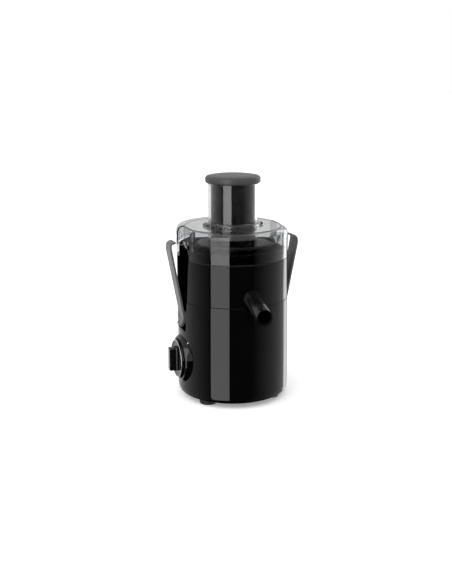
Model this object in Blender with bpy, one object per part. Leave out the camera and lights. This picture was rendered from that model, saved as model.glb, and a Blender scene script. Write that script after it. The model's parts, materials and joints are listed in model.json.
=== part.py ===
# Centrifugal juicer: motor base, juice collector with spout, steel sieve basket, clear lid with
# feed tube and pusher, two side clamps, speed dial and a pulp container behind.
# Lengths below are millimetres measured from the motor axis and the floor; meshes are in metres.
import bpy
import bmesh
from math import sin, cos, pi, radians, asin, sqrt

for old in list(bpy.data.objects):
    bpy.data.objects.remove(old, do_unlink=True)

MM = 0.001
GAP = 0.3            # clearance between neighbouring pieces
AXIS_Y = 17.2        # motor axis behind the middle of the whole outline
BODY_R_LOW = 84.0    # front of the motor base near the floor
BODY_R_TOP = 82.6    # front of the motor base at the deck
REAR = 94.0          # back of the motor base behind the motor axis
SHELL_R = 82.0       # collector and lid radius
FLOOR_GAP = 7.5      # underside of the motor base above the floor
DECK_Z = 153.0       # top of the motor base
LEDGE_Z = 88.0       # shelf of the base that carries the pulp container
BAY_R = 70.0         # round wall in front of the pulp container
BAY_Y = 28.0         # front plane of the container bay
SKIRT_Z = 216.0      # lower edge of the lid's skirt
RIM_Z = 231.0        # upper rim of the collector and of the container
LID_Z = 261.0        # flat top of the lid
LID_ROUND = 9.5      # shoulder radius of the lid
LID_REAR = 95.5      # back of the lid behind the motor axis
FULL = 2.3           # fullness of the lid's and the container's rear curve, 2 is an ellipse
TUBE_R = 36.9
TUBE_BORE = 34.7
TUBE_TOP = 324.0
PUSHER_R = 33.2
CAP_R = 41.0
CAP_TOP = 337.3
PIVOT_X = 76.5       # clamp hinge line
PIVOT_Z = 129.0
CLAMP_REST = 10.5    # degrees the clamps stand open at rest
DIAL_Z = 62.0
BEZEL_R = 36.2
SEG = 48             # sides of the large rounds

root = bpy.data.objects.new("juicer", None)
root.location = (0, AXIS_Y * MM, 0)
bpy.context.scene.collection.objects.link(root)


def pivot(name, x, y, z, turn=(0, 0, 0)):
    empty = bpy.data.objects.new(name, None)
    empty.parent = root
    empty.location = (x * MM, y * MM, z * MM)
    empty.rotation_euler = turn
    bpy.context.scene.collection.objects.link(empty)
    return empty


def material(name, color, metallic=0.0, rough=0.4, alpha=1.0):
    mat = bpy.data.materials.new(name)
    mat.use_nodes = True
    shader = mat.node_tree.nodes["Principled BSDF"]
    shader.inputs["Base Color"].default_value = (*color, 1)
    shader.inputs["Metallic"].default_value = metallic
    shader.inputs["Roughness"].default_value = rough
    shader.inputs["Alpha"].default_value = alpha
    mat.diffuse_color = (*color, alpha)
    return mat


BLACK = ((0.012, 0.012, 0.013), 0.0, 0.12)
SATIN = ((0.03, 0.03, 0.032), 0.0, 0.45)
GREY = ((0.20, 0.20, 0.21), 0.0, 0.38)
DARK = ((0.075, 0.075, 0.08), 0.0, 0.4)
CLEAR = ((0.86, 0.87, 0.88), 0.0, 0.05, 0.35)
STEEL = ((0.62, 0.62, 0.63), 1.0, 0.28)
IRON = ((0.32, 0.33, 0.35), 1.0, 0.5)
COPPER = ((0.60, 0.27, 0.12), 1.0, 0.4)
BRASS = ((0.62, 0.47, 0.20), 1.0, 0.4)
RUBBER = ((0.018, 0.018, 0.018), 0.0, 0.8)
SILVER = ((0.55, 0.56, 0.57), 0.6, 0.3)
WHITE = ((0.72, 0.72, 0.70), 0.0, 0.45)
BOARD = ((0.03, 0.16, 0.07), 0.0, 0.5)


def loft(name, rings, look, parent=None, loop=False, smooth=True, at=(0, 0, 0), turn=None):
    """Skin a stack of point rings; a ring of one point is a pole, loop joins last to first."""
    mesh = bpy.data.meshes.new(name)
    bm = bmesh.new()
    rows = [[bm.verts.new((x * MM, y * MM, z * MM)) for x, y, z in ring] for ring in rings]
    pairs = list(zip(rows, rows[1:])) + ([(rows[-1], rows[0])] if loop else [])
    for a, b in pairs:
        n = max(len(a), len(b))
        for i in range(n):
            j = (i + 1) % n
            if len(a) == 1:
                bm.faces.new((a[0], b[i], b[j]))
            elif len(b) == 1:
                bm.faces.new((a[i], a[j], b[0]))
            else:
                bm.faces.new((a[i], a[j], b[j], b[i]))
    if not loop:
        for row in (rows[0], rows[-1]):
            if len(row) > 1:
                bm.faces.new(row)
    bmesh.ops.remove_doubles(bm, verts=bm.verts[:], dist=0.00001)
    bmesh.ops.recalc_face_normals(bm, faces=bm.faces[:])
    for face in bm.faces:
        face.smooth = smooth
    bm.to_mesh(mesh)
    bm.free()
    obj = bpy.data.objects.new(name, mesh)
    bpy.context.scene.collection.objects.link(obj)
    obj.parent = parent or root
    obj.location = tuple(v * MM for v in at)
    if turn:
        obj.rotation_euler = turn
    if look:
        mesh.materials.append(material(name + "_mat", *look))
    else:
        obj.hide_render = True
        obj.display_type = 'WIRE'
    return obj


def circle(r, z, n=SEG, cx=0.0, cy=0.0):
    if r == 0:
        return [(cx, cy, z)]
    return [(cx + r * cos(2 * pi * i / n), cy + r * sin(2 * pi * i / n), z) for i in range(n)]


def turned(name, profile, look, parent=None, n=SEG, at=(0, 0, 0), turn=None):
    """Turn a profile of (radius, height); a profile that never meets the axis makes a ring."""
    ring = all(r > 0 for r, z in profile) and profile[0] != profile[-1]
    tube = min(r for r, z in profile) > 0
    return loft(name, [circle(r, z, n) for r, z in profile], look, parent, loop=ring and tube,
                at=at, turn=turn)


def rod(name, r, z0, z1, look, parent=None, n=20, at=(0, 0, 0), turn=None):
    return loft(name, [circle(r, z0, n), circle(r, z1, n)], look, parent, at=at, turn=turn)


def prism(name, outline, z0, z1, look, parent=None, at=(0, 0, 0)):
    rings = [[(x, y, z) for x, y in outline] for z in (z0, z1)]
    return loft(name, rings, look, parent, smooth=False, at=at)


def box(name, x0, x1, y0, y1, z0, z1, look, parent=None, at=(0, 0, 0)):
    return prism(name, [(x0, y0), (x1, y0), (x1, y1), (x0, y1)], z0, z1, look, parent, at)


def cut(obj, *tools):
    for tool in tools:
        mod = obj.modifiers.new("cut_" + tool.name, 'BOOLEAN')
        mod.operation = 'DIFFERENCE'
        mod.solver = 'EXACT'
        mod.object = tool


def rear_point(half, rear, a, power=2.0):
    x = abs(cos(a)) ** (2 / power) * half
    return (x if cos(a) > 0 else -x, sin(a) ** (2 / power) * rear)


def oval(r_front, rear, z, n=24, power=2.0):
    """Footprint of the machine: half circle in front of the motor axis, longer curve behind."""
    ring = [(r_front * cos(a), r_front * sin(a), z)
            for a in (-pi + pi * i / n for i in range(n + 1))]
    return ring + [(*rear_point(r_front, rear, pi * i / n, power), z) for i in range(1, n)]


def arc(r, a0, a1, n):
    return [(r * cos(a0 + (a1 - a0) * i / n), r * sin(a0 + (a1 - a0) * i / n))
            for i in range(n + 1)]


def hollow_outline(r_front, r_rear, x_side, y_side, y_bay):
    """Inner outline of a shell: it steps in at both clamp recesses and round the bay."""
    a, b = asin(y_side / r_front), asin(y_bay / r_rear)
    return (arc(r_front, -pi + a, -a, 24) + [(x_side, -y_side), (x_side, y_bay)]
            + arc(r_rear, b, pi - b, 22) + [(-x_side, y_bay), (-x_side, -y_side)])


def recess_front(z):
    return -19.8 - 0.0707 * (z - 129.0)


def side_prism(name, section, extra, side):
    """Prism across Y from a section in X and Z, as wide as the clamp recess: its front wall
    leans forward as it rises, its rear wall is upright in front of the container bay."""
    ring = [[(side * x, recess_front(z) - extra, z) for x, z in section],
            [(side * x, 21.0 + extra, z) for x, z in section]]
    return loft(name, ring, None, smooth=False)


# --- motor base ---------------------------------------------------------------------------
housing = loft("motor_housing",
               [oval(BODY_R_LOW - 4.5, REAR - 4.5, FLOOR_GAP), oval(BODY_R_LOW - 1.6, REAR - 1.6, 9.0),
                oval(BODY_R_LOW - 0.3, REAR - 0.3, 12.2), oval(BODY_R_LOW, REAR, 18.0),
                oval(BODY_R_LOW - 0.6, REAR, 90.0), oval(BODY_R_TOP, REAR - 0.2, DECK_Z - 0.8),
                oval(BODY_R_TOP - 0.8, REAR - 1.0, DECK_Z)], BLACK)
bay = prism("bay_cut", arc(BAY_R, pi - asin(BAY_Y / BAY_R), asin(BAY_Y / BAY_R), 28)
            + [(120, BAY_Y), (120, 130), (-120, 130), (-120, BAY_Y)], LEDGE_Z, 300, None)
low_room = prism("low_room_cut", [(max(x, -71.0), y) for x, y, z in
                                  oval(BODY_R_LOW - 4.8, REAR - 4.8, 0)], 0, LEDGE_Z - 3, None)
high_room = prism("high_room_cut", hollow_outline(BODY_R_TOP - 3.0, BAY_R - 3.0, 68.8, 31, 25),
                  LEDGE_Z - 5, DECK_Z - 3, None)
cut(housing, bay, low_room, high_room)
for side, word in ((-1, "left"), (1, "right")):
    notch = side_prism("recess_cut_" + word, [(92, 106), (84.5, 106.6), (71.8, 111), (71.8, 138),
                                              (78.5, 151), (78.5, 170), (92, 170)], 0, side)
    pin_bore = rod("pin_bore_" + word, 1.8, -23.5, 23.5, None, n=12,
                   at=(side * PIVOT_X, 0, PIVOT_Z), turn=(pi / 2, 0, 0))
    cut(housing, notch, pin_bore)
dial_seat = rod("dial_seat_cut", BEZEL_R + GAP, -100, -73.7, None, n=44,
                at=(0, 0, DIAL_Z), turn=(0, pi / 2, 0))
dial_bore = rod("dial_bore_cut", 3.6, -80, -60, None, n=16, at=(0, 0, DIAL_Z),
                turn=(0, pi / 2, 0))
shaft_hole = rod("shaft_hole_cut", 9.0, 140, 160, None, n=28)
gland_bore = rod("gland_bore_cut", 6.3, -110, -80, None, n=20, at=(0, 0, 24),
                 turn=(pi / 2, 0, 0))
cut(housing, dial_seat, dial_bore, shaft_hole, gland_bore)

base_plate = prism("base_plate", [(max(x, -70.7), y) for x, y, z in
                                  oval(BODY_R_LOW - 5.1, REAR - 5.1, 0)], FLOOR_GAP,
                   FLOOR_GAP + 2.4, SATIN)
for i in range(5):
    slot = box("vent_cut_%d" % i, -22, 22, -2, 2, 0, 12, None, at=(0, -18 + 9 * i, 0))
    cut(base_plate, slot)

SCREWS = {"front_left": (-36, -58), "front_right": (36, -58),
          "rear_left": (-30, 66), "rear_right": (30, 66)}
for word, (x, y) in SCREWS.items():
    cut(base_plate, rod("screw_bore_" + word, 2.3, 0, 12, None, n=12, at=(x, y, 0)))
    turned("base_screw_" + word, [(0, 5.7), (3.6, 5.7), (3.6, 7.2), (2.0, 7.2), (2.0, 16),
                                  (0, 17.5)], STEEL, n=10, at=(x, y, 0))
FEET = {"front_left": (-53, -38.5), "front_right": (46, -42),
        "rear_left": (-46, 50), "rear_right": (46, 50)}
for word, (x, y) in FEET.items():
    turned("foot_" + word, [(0, 0), (11.4, 0), (13, 1.6), (13, FLOOR_GAP - GAP),
                            (0, FLOOR_GAP - GAP)], RUBBER, n=20, at=(x, y, 0))

# --- motor --------------------------------------------------------------------------------
turned("stator_core", [(21, 80), (36, 80), (36, 120), (21, 120)], IRON, n=24)
for side, word in ((0, "right"), (pi, "left")):
    coil = arc(32.5, side - 1.15, side + 1.15, 10) + arc(23, side + 1.15, side - 1.15, 10)
    prism("field_coil_" + word, coil, 120 + GAP, 128, COPPER)
turned("upper_bracket", [(37, 120 + GAP), (37, 135), (14, 135), (14, 142), (11, 142), (11, 132.5),
                         (34.5, 132.5), (34.5, 120 + GAP)], IRON, n=24)
turned("lower_bracket", [(37, 80 - GAP), (37, 64), (14, 64), (14, 58), (11, 58), (11, 66.5),
                         (34.5, 66.5), (34.5, 80 - GAP)], IRON, n=24)
turned("bearing_upper", [(4.3, 135.5), (10.7, 135.5), (10.7, 141.5), (4.3, 141.5)], STEEL, n=16)
turned("bearing_lower", [(4.3, 58.5), (10.7, 58.5), (10.7, 64.5), (4.3, 64.5)], STEEL, n=16)
turned("motor_mount_ring", [(30, 135 + GAP), (37, 135 + GAP), (37, DECK_Z - 3 - GAP),
                            (30, DECK_Z - 3 - GAP)], RUBBER, n=24)
for side, word in ((-1, "front"), (1, "rear")):
    ys = sorted((side * 12.4, side * 33.2))
    box("brush_holder_" + word, -4, 4, ys[0], ys[1], 68.5, 76, BRASS)
turned("shaft_seal", [(4.6, 150.2), (8.7, 150.2), (8.7, 153.8), (4.6, 153.8)], RUBBER, n=18)

spin = pivot("motor_axis", 0, 0, 0)
turned("motor_shaft", [(0, 42), (4, 42), (4, 160), (0, 160)], STEEL, spin, n=16)


def toothed(name, r_top, r_slot, teeth, bore, z0, z1, look, parent, share=0.62):
    outer, inner = [], []
    for k in range(teeth):
        for f, r in ((0.0, r_slot), (0.5 - share / 2, r_slot), (0.5 - share / 2 + 0.04, r_top),
                     (0.5 + share / 2 - 0.04, r_top), (0.5 + share / 2, r_slot)):
            a = 2 * pi * (k + f) / teeth
            outer.append((r * cos(a), r * sin(a)))
            inner.append((bore * cos(a), bore * sin(a)))
    rings = [[(x, y, z0) for x, y in outer], [(x, y, z1) for x, y in outer],
             [(x, y, z1) for x, y in inner], [(x, y, z0) for x, y in inner]]
    return loft(name, rings, look, parent, loop=True, smooth=False)


toothed("armature_core", 20.2, 14, 10, 4.3, 82, 118, IRON, spin, 0.8)
toothed("commutator", 12, 10.8, 8, 4.3, 68, 77, COPPER, spin, 0.85)
toothed("cooling_fan", 32, 12, 9, 4.3, 46, 56, SATIN, spin, 0.4)
coupling = toothed("drive_coupling", 12, 9.6, 6, 4.3, DECK_Z + 1.3, 163, SATIN, spin, 0.6)

# --- switch, bezel and knob ---------------------------------------------------------------
box("rotary_switch", -69, -52, -13, 13, DIAL_Z - 13, DIAL_Z + 13, WHITE)
box("speed_board", -66, -30, -30, 24, 10.4, 12.0, BOARD)
box("interlock_switch", 58, 68, -9, 9, 138, 149.7, WHITE)


def dial_ring(r, x=None, share=1.0, n=36):
    """Ring of the dial bezel; without x it hugs the side of the base, else it moves towards x."""
    ring = []
    for i in range(n):
        y, z = r * cos(2 * pi * i / n), r * sin(2 * pi * i / n)
        side = -BODY_R_LOW * sqrt(1 - (y / (BODY_R_LOW if y < 0 else REAR)) ** 2) + 0.3
        ring.append((side if x is None else side + (x - side) * share, y, z))
    return ring


loft("dial_bezel", [dial_ring(BEZEL_R, -74), dial_ring(BEZEL_R), dial_ring(35.6, -87, 0.12),
                    dial_ring(32.8, -87, 0.8), dial_ring(31.2, -87), dial_ring(30.2, -86.5),
                    dial_ring(30.2, -74)], BLACK, at=(0, 0, DIAL_Z), loop=True)
knob = pivot("knob_axis", -80, 0, DIAL_Z)
turned("knob_skirt", [(0, 0), (28.8, 0), (28.8, 9.4), (28.1, 10.1), (0, 10.1)], BLACK, knob,
       n=36, at=(-0.5, 0, 0), turn=(0, -pi / 2, 0))
rod("knob_shaft", 3.0, -10.4, -0.3, STEEL, knob, n=14, at=(-0.5, 0, 0), turn=(0, -pi / 2, 0))


def rounded_bar(half_y, half_z, x, round_r=3.0):
    ring = []
    for cy, cz, a0 in ((1, 1, 0), (-1, 1, pi / 2), (-1, -1, pi), (1, -1, 3 * pi / 2)):
        for i in range(4):
            a = a0 + pi / 2 * i / 3
            ring.append((x, cy * (half_y - round_r) + round_r * cos(a),
                         cz * (half_z - round_r) + round_r * sin(a)))
    return ring


loft("knob_grip", [rounded_bar(7.4, 18.6, -10.9), rounded_bar(5.7, 18.2, -12.6),
                   rounded_bar(5.4, 18.0, -21.4), rounded_bar(4.9, 17.5, -22.3, 2.6)], BLACK, knob)
loft("knob_insert", [rounded_bar(4.2, 16.6, -22.6, 2.0), rounded_bar(4.0, 16.4, -23.1, 2.0)],
     SILVER, knob)
turned("cord_gland", [(3.2, 88), (6.0, 88), (6.0, 95.0), (8.6, 95.0), (8.6, 96.3), (5.4, 97.0),
                      (3.2, 97.0)], RUBBER, n=16, at=(0, 0, 24), turn=(-pi / 2, 0, 0))

# --- clamps -------------------------------------------------------------------------------
# sections of a lever: outer point, inner point (outward, up from the hinge) and half width
LEVER = [((13.0, -12.5), (10.2, -14.2), 9.5), ((8.6, -8.4), (5.0, -10.4), 10.5),
         ((5.8, -4.4), (-2.6, -3.6), 11.0), ((5.5, 0.0), (-4.0, 0.0), 11.0),
         ((5.5, 4.6), (-2.4, 4.2), 11.0), ((5.5, 10.0), (2.6, 9.0), 11.2),
         ((5.5, 60.0), (2.6, 60.0), 12.2), ((5.5, 101.0), (2.6, 101.0), 13.3),
         ((5.1, 106.5), (2.5, 105.6), 13.2), ((3.6, 111.6), (2.0, 109.9), 12.8),
         ((0.4, 114.6), (0.2, 111.8), 12.0), ((-5.6, 115.0), (-5.6, 112.1), 10.6)]
for side, word in ((-1, "left"), (1, "right")):
    turn = (0, side * radians(CLAMP_REST), 0)
    hinge = pivot("clamp_axis_" + word, side * PIVOT_X, 0, PIVOT_Z, turn)
    rings = []
    for (uo, wo), (ui, wi), h in LEVER:
        rings.append([(side * uo, -h + 1, wo), (side * uo, h - 1, wo),
                      (side * (uo + (ui - uo) * 0.4), h, wo + (wi - wo) * 0.4),
                      (side * ui, h, wi), (side * ui, -h, wi),
                      (side * (uo + (ui - uo) * 0.4), -h, wo + (wi - wo) * 0.4)])
    lever = loft("clamp_" + word, rings, GREY, hinge, smooth=False)
    bore = rod("clamp_bore_" + word, 1.8, -20, 20, None, n=12,
               at=(side * PIVOT_X, 0, PIVOT_Z), turn=(pi / 2, 0, 0))
    cut(lever, bore)
    rod("clamp_pin_" + word, 1.5, -22.5, 22.5, STEEL, n=12, at=(side * PIVOT_X, 0, PIVOT_Z),
        turn=(pi / 2, 0, 0))

# --- juice collector with its spout -------------------------------------------------------
LIFT = pivot("collector_axis", 0, 0, 0)
collector = loft("juice_collector",
                 [oval(SHELL_R - 0.5, REAR - 1, DECK_Z + GAP), oval(SHELL_R, REAR - 0.5, 154.3),
                  oval(SHELL_R, REAR - 0.5, SKIRT_Z - 0.4), oval(SHELL_R - 0.4, REAR - 0.9, SKIRT_Z),
                  oval(SHELL_R - 2.6, REAR - 2.6, SKIRT_Z),
                  oval(SHELL_R - 2.6, REAR - 2.6, RIM_Z)], BLACK, LIFT)
bowl = prism("bowl_cut", hollow_outline(SHELL_R - 4.6, BAY_R - 3.6, 65.8, 32, 25), 158, 250, None)
for side, word in ((-1, "left"), (1, "right")):
    low = side_prism("collector_recess_" + word, [(92, 140), (70.5, 140), (70.5, 220), (92, 220)],
                     0, side)
    top = side_prism("collector_notch_" + word, [(92, SKIRT_Z), (68.2, SKIRT_Z), (68.2, 240),
                                                 (92, 240)], 2.3, side)
    cut(collector, low, top)
collector_bay = prism("collector_bay_cut",
                      arc(BAY_R - 1, pi - asin(BAY_Y / (BAY_R - 1)), asin(BAY_Y / (BAY_R - 1)), 28)
                      + [(120, BAY_Y), (120, 130), (-120, 130), (-120, BAY_Y)], 140, 300, None)
drive_hole = rod("drive_hole_cut", 19.5, 140, 180, None, n=36)
SPOUT_ROOT, SPOUT_TIP = (-82.3, 167.5), (-131.5, 151.5)


def spout_ring(r, y, n=24, hug=None):
    slope = (SPOUT_TIP[1] - SPOUT_ROOT[1]) / (SPOUT_TIP[0] - SPOUT_ROOT[0])
    ring = []
    for i in range(n):
        a = 2 * pi * i / n
        yy = y if hug is None else -sqrt(hug * hug - (r * cos(a)) ** 2)
        ring.append((r * cos(a), yy, SPOUT_ROOT[1] + slope * (yy - SPOUT_ROOT[0]) + r * sin(a)))
    return ring


spout_bore = loft("spout_bore_cut", [spout_ring(9.8, -70), spout_ring(9.8, -90)], None)
cut(collector, collector_bay, bowl, drive_hole, spout_bore)
loft("pouring_spout", [spout_ring(12.6, 0, hug=SHELL_R + GAP), spout_ring(12.1, -86.0),
                       spout_ring(12.0, -130.1), spout_ring(11.5, SPOUT_TIP[0]),
                       spout_ring(10.2, SPOUT_TIP[0]), spout_ring(9.9, -130.1),
                       spout_ring(9.8, 0, hug=SHELL_R + GAP)], BLACK, LIFT, loop=True)
turned("drive_collar", [(19.2, 158.6), (19.2, 170), (17.6, 170), (17.6, 155.0), (19.2, 155.0)],
       SATIN, LIFT, n=28)

# --- sieve basket -------------------------------------------------------------------------
sieve = pivot("sieve_axis", 0, 0, 0)
turned("sieve_mesh", [(44.6, 187.6), (60.4, 233), (59.6, 233), (43.8, 187.6)], STEEL, sieve, n=36)
turned("sieve_rim", [(60.4, 233 + GAP), (64, 233.8), (64, 237.4), (63.2, 238), (59.0, 238),
                     (58.4, 236), (58.4, 233 + GAP)], SATIN, sieve, n=36)
turned("grater_disc", [(5.5, 186.2), (43.4, 186.2), (43.4, 187.2), (5.5, 187.2)], STEEL, sieve,
       n=28)
turned("sieve_hub", [(0, 185.9), (44.6, 185.9), (44.6, 183.4), (25.2, 174.5), (25.2, 163),
                     (22.6, 163), (22.6, 172.6), (16.6, 172.6), (16.6, 158.8), (12.6, 158.8),
                     (12.6, 170), (0, 170)], SATIN, sieve, n=28)
turned("grater_nut", [(0, 193), (3.2, 192.2), (5.2, 189.6), (5.2, 186.2), (0, 186.2)], STEEL,
       sieve, n=18)

# --- lid and feed tube --------------------------------------------------------------------
LID = pivot("lid_axis", 0, 0, 0)


def lid_shell(name, wall, z_low, look):
    turnpoint = LID_Z - LID_ROUND
    rings = [oval(SHELL_R - wall, LID_REAR - wall, z, power=FULL) for z in (z_low, turnpoint)]
    for i in range(1, 5):
        a = pi / 2 * i / 4
        inset = LID_ROUND - (LID_ROUND - wall) * cos(a)
        rings.append(oval(SHELL_R - inset, LID_REAR - inset,
                          turnpoint + (LID_ROUND - wall) * sin(a), power=FULL))
    return loft(name, rings, look, LID if look else None)


lid = lid_shell("lid", 0.0, SKIRT_Z + GAP, CLEAR)
room = lid_shell("lid_room_cut", 2.0, 200, None)
for side, word in ((-1, "left"), (1, "right")):
    keep = side_prism("lid_keep_" + word, [(92, 190), (68.5, 190), (68.5, 270), (92, 270)], 2.0, side)
    cut(room, keep)
    notch = side_prism("lid_notch_" + word, [(95, 205), (70.5, 205), (70.5, 275), (95, 275)], 0, side)
    wedge = loft("lid_lug_" + word, [[(side * x, y, z) for x, z in ((70, 224), (76.5, 238.6),
                                                                    (76.5, 240.5), (70, 240.5))]
                                     for y in (-6, 6)], None, smooth=False)
    cut(notch, wedge)
    cut(lid, notch)
rear_trim = box("lid_rear_trim", -120, 120, BAY_Y - GAP, 130, 190, RIM_Z + 1.2, None)
tube_hole = rod("tube_hole_cut", TUBE_R + GAP, 240, 280, None, n=48)
cut(lid, room, rear_trim, tube_hole)
turned("feed_tube", [(TUBE_R, 192.5), (TUBE_R, LID_Z + GAP), (41.7, LID_Z + GAP),
                     (41.7, LID_Z + 4.2), (40.6, LID_Z + 5.2), (TUBE_R, LID_Z + 5.2),
                     (TUBE_R, TUBE_TOP), (TUBE_BORE, TUBE_TOP), (TUBE_BORE, 192.5)], CLEAR, LID,
       n=40)

# --- pusher -------------------------------------------------------------------------------
PUSH = pivot("pusher_axis", 0, 0, 0)
turned("pusher_body", [(0, 196), (PUSHER_R - 2.5, 196), (PUSHER_R, 198.5), (PUSHER_R, TUBE_TOP),
                       (PUSHER_R - 2.4, TUBE_TOP), (PUSHER_R - 2.4, 199), (0, 199)], DARK, PUSH,
       n=32)
turned("pusher_cap", [(0, CAP_TOP), (26, CAP_TOP - 0.7), (35, CAP_TOP - 2.0),
                      (39.2, CAP_TOP - 3.9), (CAP_R, CAP_TOP - 6.7), (CAP_R, TUBE_TOP + 1.4),
                      (40.0, TUBE_TOP + GAP), (0, TUBE_TOP + GAP)], GREY, PUSH, n=40)

# --- pulp container -----------------------------------------------------------------------
DRAW = pivot("container_axis", 0, 0, 0)


def crescent(inset, z, half=78.0, back=REAR - 2.0, r_in=BAY_R + 1.2):
    y0, ri = BAY_Y + GAP + inset, r_in + inset
    a, b = asin((y0 / (back - inset)) ** (FULL / 2)), asin(y0 / ri)
    outer = [rear_point(half - inset, back - inset, a + (pi - 2 * a) * i / 26, FULL)
             for i in range(27)]
    return [(x, y, z) for x, y in outer + arc(ri, pi - b, b, 26)]


def wide_crescent(inset, z):
    return crescent(inset, z, 81.5, REAR - 1.0)


loft("pulp_container", [wide_crescent(1.2, LEDGE_Z + GAP), wide_crescent(0, LEDGE_Z + 1.6),
                        wide_crescent(0, 215.4), crescent(0, 215.9),
                        crescent(0, RIM_Z), crescent(2.0, RIM_Z),
                        crescent(2.0, 213.0), wide_crescent(2.0, 211.5),
                        wide_crescent(2.0, LEDGE_Z + 3)],
     BLACK, DRAW)
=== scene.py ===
import bpy
import bmesh
import json
from math import sin, cos, tan, pi, radians, sqrt, hypot, atan2
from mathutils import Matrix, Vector


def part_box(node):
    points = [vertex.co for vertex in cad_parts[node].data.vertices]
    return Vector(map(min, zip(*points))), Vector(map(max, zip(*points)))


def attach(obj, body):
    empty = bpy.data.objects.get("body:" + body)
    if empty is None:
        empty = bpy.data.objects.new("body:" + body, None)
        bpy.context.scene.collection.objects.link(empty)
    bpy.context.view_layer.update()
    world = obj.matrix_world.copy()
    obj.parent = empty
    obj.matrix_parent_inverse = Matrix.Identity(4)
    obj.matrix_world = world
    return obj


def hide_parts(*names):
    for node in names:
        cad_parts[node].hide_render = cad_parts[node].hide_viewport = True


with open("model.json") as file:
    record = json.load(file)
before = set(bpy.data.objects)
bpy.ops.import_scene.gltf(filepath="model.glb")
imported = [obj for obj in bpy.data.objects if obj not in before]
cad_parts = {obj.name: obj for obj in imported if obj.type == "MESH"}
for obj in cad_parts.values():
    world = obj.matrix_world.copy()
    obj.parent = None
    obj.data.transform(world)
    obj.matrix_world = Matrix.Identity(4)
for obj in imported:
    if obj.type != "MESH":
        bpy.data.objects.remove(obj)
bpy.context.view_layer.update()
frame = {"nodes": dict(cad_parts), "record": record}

# Studio: white floor paper under a white sky, with a tall softbox in front, a narrow one behind on
# the right and broad daylight. Mirror reflections see no floor: below the horizon they meet a room
# that is dark on the camera's side and pale behind, which keeps the upright gloss walls black.
shaft_low, shaft_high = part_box("motor_shaft")
AXIS_Y = (shaft_low.y + shaft_high.y) / 2
CAMERA_TURN, CAMERA_TILT = radians(-19.55), 0.254
CAMERA_DISTANCE, CAMERA_HEIGHT = 1.283, 0.481
FLOOR_SIZE = 30
scene = bpy.context.scene
scene.view_settings.view_transform = "Standard"
bpy.ops.object.select_all(action="DESELECT")
bpy.ops.mesh.primitive_grid_add(x_subdivisions=24, y_subdivisions=24, size=FLOOR_SIZE)
floor = bpy.context.object
floor.name = "studio_floor"
floor.visible_glossy = False
paper = bpy.data.materials.new("floor_paper")
paper.use_nodes = True
tree = paper.node_tree
shader = tree.nodes["Principled BSDF"]
shader.inputs["Base Color"].default_value = (0.95, 0.95, 0.95, 1)
shader.inputs["Roughness"].default_value = 0.85
shader.inputs["Specular IOR Level"].default_value = 0.1
shader.inputs["Emission Color"].default_value = (1, 1, 1, 1)
shader.inputs["Emission Strength"].default_value = 0.25
mirrored = tree.nodes.new("ShaderNodeLightPath")
absent = tree.nodes.new("ShaderNodeBsdfTransparent")
sheet = tree.nodes.new("ShaderNodeMixShader")
tree.links.new(mirrored.outputs["Glossy Depth"], sheet.inputs["Fac"])
tree.links.new(shader.outputs["BSDF"], sheet.inputs[1])
tree.links.new(absent.outputs["BSDF"], sheet.inputs[2])
tree.links.new(sheet.outputs["Shader"], tree.nodes["Material Output"].inputs["Surface"])
floor.data.materials.append(paper)


def ranged(tree, value, low, high, first=0.0, last=1.0):
    """Turns low..high of a value into first..last, and returns the result."""
    step = tree.nodes.new("ShaderNodeMapRange")
    names = ("From Min", "From Max", "To Min", "To Max")
    for name, number in zip(names, (low, high, first, last)):
        step.inputs[name].default_value = number
    tree.links.new(value, step.inputs["Value"])
    return step.outputs["Result"]


def maths(tree, operation, first, second):
    """Joins a value with a second value or a number, and returns the result."""
    step = tree.nodes.new("ShaderNodeMath")
    step.operation = operation
    tree.links.new(first, step.inputs[0])
    if isinstance(second, float):
        step.inputs[1].default_value = second
    else:
        tree.links.new(second, step.inputs[1])
    return step.outputs["Value"]


world = bpy.data.worlds.new("studio_room")
scene.world = world
world.use_nodes = True
sky = world.node_tree
ray = sky.nodes.new("ShaderNodeTexCoord")
parts_of_ray = sky.nodes.new("ShaderNodeSeparateXYZ")
sky.links.new(ray.outputs["Generated"], parts_of_ray.inputs[0])
height = parts_of_ray.outputs["Z"]
above_horizon = ranged(sky, height, -0.07, -0.045)
toward_camera = sky.nodes.new("ShaderNodeVectorMath")
toward_camera.operation = "DOT_PRODUCT"
toward_camera.inputs[1].default_value = (sin(CAMERA_TURN), -cos(CAMERA_TURN), 0)
sky.links.new(ray.outputs["Generated"], toward_camera.inputs[0])
room = ranged(sky, toward_camera.outputs["Value"], 0.72, -1.0, 0.0, 0.9)
room = maths(sky, "MULTIPLY", room, ranged(sky, height, -0.85, -0.5))
bounced = sky.nodes.new("ShaderNodeLightPath")
ceiling = ranged(sky, bounced.outputs["Glossy Depth"], 0.0, 1.0, 1.0, 0.75)
strength = sky.nodes.new("ShaderNodeMix")
sky.links.new(above_horizon, strength.inputs["Factor"])
sky.links.new(room, strength.inputs["A"])
sky.links.new(ceiling, strength.inputs["B"])
sky.links.new(strength.outputs["Result"], sky.nodes["Background"].inputs["Strength"])
sky.nodes["Background"].inputs["Color"].default_value = (1, 1, 1, 1)


def softbox(name, turn, distance, width, low, high, power):
    """A tall light standing round the object; turn is seen from above, from the camera's side."""
    direction = Vector((sin(CAMERA_TURN + turn), -cos(CAMERA_TURN + turn), 0))
    lamp = bpy.data.lights.new(name, "AREA")
    lamp.shape = "RECTANGLE"
    lamp.size, lamp.size_y = width, high - low
    lamp.energy = power * width * (high - low)
    light = bpy.data.objects.new(name, lamp)
    light.location = direction * distance + Vector((0, AXIS_Y, (low + high) / 2))
    light.rotation_euler = direction.to_track_quat("Z", "Y").to_euler()
    light.visible_camera = False
    light.visible_diffuse = False
    scene.collection.objects.link(light)


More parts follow.
